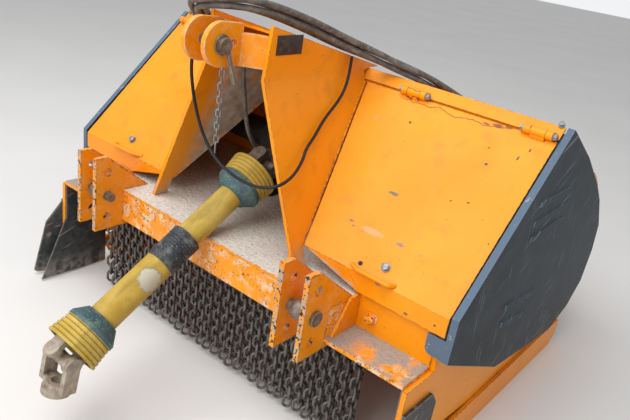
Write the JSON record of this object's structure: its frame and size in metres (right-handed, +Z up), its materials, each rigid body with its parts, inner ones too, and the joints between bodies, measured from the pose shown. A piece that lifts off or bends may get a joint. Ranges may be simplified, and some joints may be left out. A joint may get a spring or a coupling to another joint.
{
  "type": "tractor stone crusher",
  "caption": "Three-point linkage stone crusher: toothed rotor under a welded hood, hinged covers, chain curtain and jointed drive shaft.",
  "frame": {"origin": "middle of the footprint, on the ground under the skids, cords left out", "axes": "+X to the machine's left hand when it is followed, +Y rearward, +Z up"},
  "size_m": [1.5858, 1.8484, 1.1609],
  "materials": {
    "orange_paint": "satin, worn and dusty",
    "grey_paint": "satin, scuffed",
    "dark_steel": "matt, worn and rusty",
    "chain_steel": "matt, earth stained",
    "rotor_steel": "scoured by stones",
    "bright_steel": "polished rod",
    "worn_steel": "worn, oily",
    "guard_yellow": "faded, soiled",
    "guard_black": "dusty",
    "guard_teal": "faded",
    "hose_rubber": "dusty",
    "cable_rubber": "satin"
  },
  "bodies": {
    "frame": {"side_plate_left": "orange_paint", "side_plate_right": "orange_paint", "hitch_beam": "orange_paint", "tunnel_floor": "orange_paint", "front_panel_left": "orange_paint", "front_panel_right": "orange_paint", "headstock_plate_left": "orange_paint", "headstock_plate_right": "orange_paint", "headstock_cap": "orange_paint", "top_link_bracket": "orange_paint", "lower_link_bracket_left": "orange_paint", "lower_link_bracket_right": "orange_paint", "ridge_beam": "orange_paint", "rear_deck": "orange_paint", "rotor_hood": "orange_paint", "hose_bulkhead": "orange_paint", "skid_left": "orange_paint", "skid_right": "orange_paint", "belt_cover_left": "grey_paint", "belt_cover_right": "grey_paint", "gearbox": "grey_paint", "cross_shaft_left": "grey_paint", "cross_shaft_right": "grey_paint", "guide_plate_left": "dark_steel", "guide_plate_right": "dark_steel", "chain_curtain": "chain_steel", "safety_chain": "chain_steel", "top_link_pin": "worn_steel", "lower_link_pin_left": "worn_steel", "lower_link_pin_right": "worn_steel", "lower_link_ball_left": "worn_steel", "lower_link_ball_right": "worn_steel", "gearbox_yoke": "worn_steel", "hose_ends": "worn_steel", "hose_low_inner": "hose_rubber", "hose_low_outer": "hose_rubber", "hose_high_inner": "hose_rubber", "hose_high_outer": "hose_rubber", "tunnel_hose": "hose_rubber", "cable_loop": "cable_rubber"},
    "rotor": {"rotor": "rotor_steel"},
    "cover_left": {"cover_left": "orange_paint"},
    "cover_right": {"cover_right": "orange_paint"},
    "rear_door": {"rear_door": "orange_paint"},
    "door_barrel_left": {"door_barrel_left": "grey_paint"},
    "door_barrel_right": {"door_barrel_right": "grey_paint"},
    "door_rod_left": {"door_rod_left": "bright_steel"},
    "door_rod_right": {"door_rod_right": "bright_steel"},
    "rear_cross": {"rear_cross": "worn_steel"},
    "driveline_rear": {"rear_shaft_yoke": "worn_steel", "rear_guard_bell": "guard_yellow", "rear_guard_collar": "guard_teal", "inner_guard_tube": "guard_yellow"},
    "driveline_front": {"front_shaft_yoke": "worn_steel", "outer_guard_tube": "guard_yellow", "guard_sleeve": "guard_black", "front_guard_collar": "guard_teal", "front_guard_bell": "guard_yellow"},
    "front_cross": {"front_cross": "worn_steel"},
    "tractor_yoke": {"tractor_yoke": "worn_steel"}
  },
  "joints": [
    {"name": "rotor_spin", "type": "hinge", "parent": "frame", "child": "rotor", "pos_m": [0, 0.5763, 0.39], "axis": [1, 0, 0], "continuous": true},
    {"name": "rear_door_hinge", "type": "hinge", "parent": "frame", "child": "rear_door", "pos_m": [0, 0.5103, 0.738], "axis": [1, 0, 0], "range_deg": [0, 35]},
    {"name": "drive_lift", "type": "hinge", "parent": "frame", "child": "rear_cross", "pos_m": [0, -0.1887, 0.658], "axis": [-1, 0, 0], "range_deg": [0, 18]},
    {"name": "drive_swing", "type": "hinge", "parent": "rear_cross", "child": "driveline_rear", "pos_m": [0, -0.1887, 0.658], "axis": [0, 0.5134, -0.8582], "range_deg": [-20, 20]},
    {"name": "drive_slide", "type": "slide", "parent": "driveline_rear", "child": "driveline_front", "axis": [0, -0.8582, -0.5134], "range_m": [0, 0.2]},
    {"name": "front_swing", "type": "hinge", "parent": "driveline_front", "child": "front_cross", "pos_m": [0, -0.86664, 0.25242], "axis": [0, 0.5134, -0.8582], "range_deg": [-5, 5]},
    {"name": "yoke_fold", "type": "hinge", "parent": "front_cross", "child": "tractor_yoke", "pos_m": [0, -0.86664, 0.25242], "axis": [-1, 0, 0], "range_deg": [0, 90]},
    {"name": "cover_left_hinge", "type": "hinge", "parent": "frame", "child": "cover_left", "pos_m": [0, 0.08776, 0.94235], "axis": [-1, 0, 0], "range_deg": [0, 85]},
    {"name": "door_barrel_left_pivot", "type": "hinge", "parent": "frame", "child": "door_barrel_left", "pos_m": [0, 0.3103, 0.897], "axis": [1, 0, 0], "range_deg": [0, 13.9]},
    {"name": "door_rod_left_slide", "type": "slide", "parent": "door_barrel_left", "child": "door_rod_left", "axis": [0, 0.9343, -0.3565], "range_m": [-0.0625, 0]},
    {"name": "cover_right_hinge", "type": "hinge", "parent": "frame", "child": "cover_right", "pos_m": [0, 0.08776, 0.94235], "axis": [-1, 0, 0], "range_deg": [0, 85]},
    {"name": "door_barrel_right_pivot", "type": "hinge", "parent": "frame", "child": "door_barrel_right", "pos_m": [0, 0.3103, 0.897], "axis": [1, 0, 0], "range_deg": [0, 13.9]},
    {"name": "door_rod_right_slide", "type": "slide", "parent": "door_barrel_right", "child": "door_rod_right", "axis": [0, 0.9343, -0.3565], "range_m": [-0.0625, 0]}
  ],
  "couplings": [
    {"joint": "door_barrel_left_pivot", "follows": "rear_door_hinge", "ratio": 0.392},
    {"joint": "door_rod_left_slide", "follows": "rear_door_hinge", "m_per_rad": -0.10125},
    {"joint": "door_barrel_right_pivot", "follows": "rear_door_hinge", "ratio": 0.392},
    {"joint": "door_rod_right_slide", "follows": "rear_door_hinge", "m_per_rad": -0.10125}
  ]
}
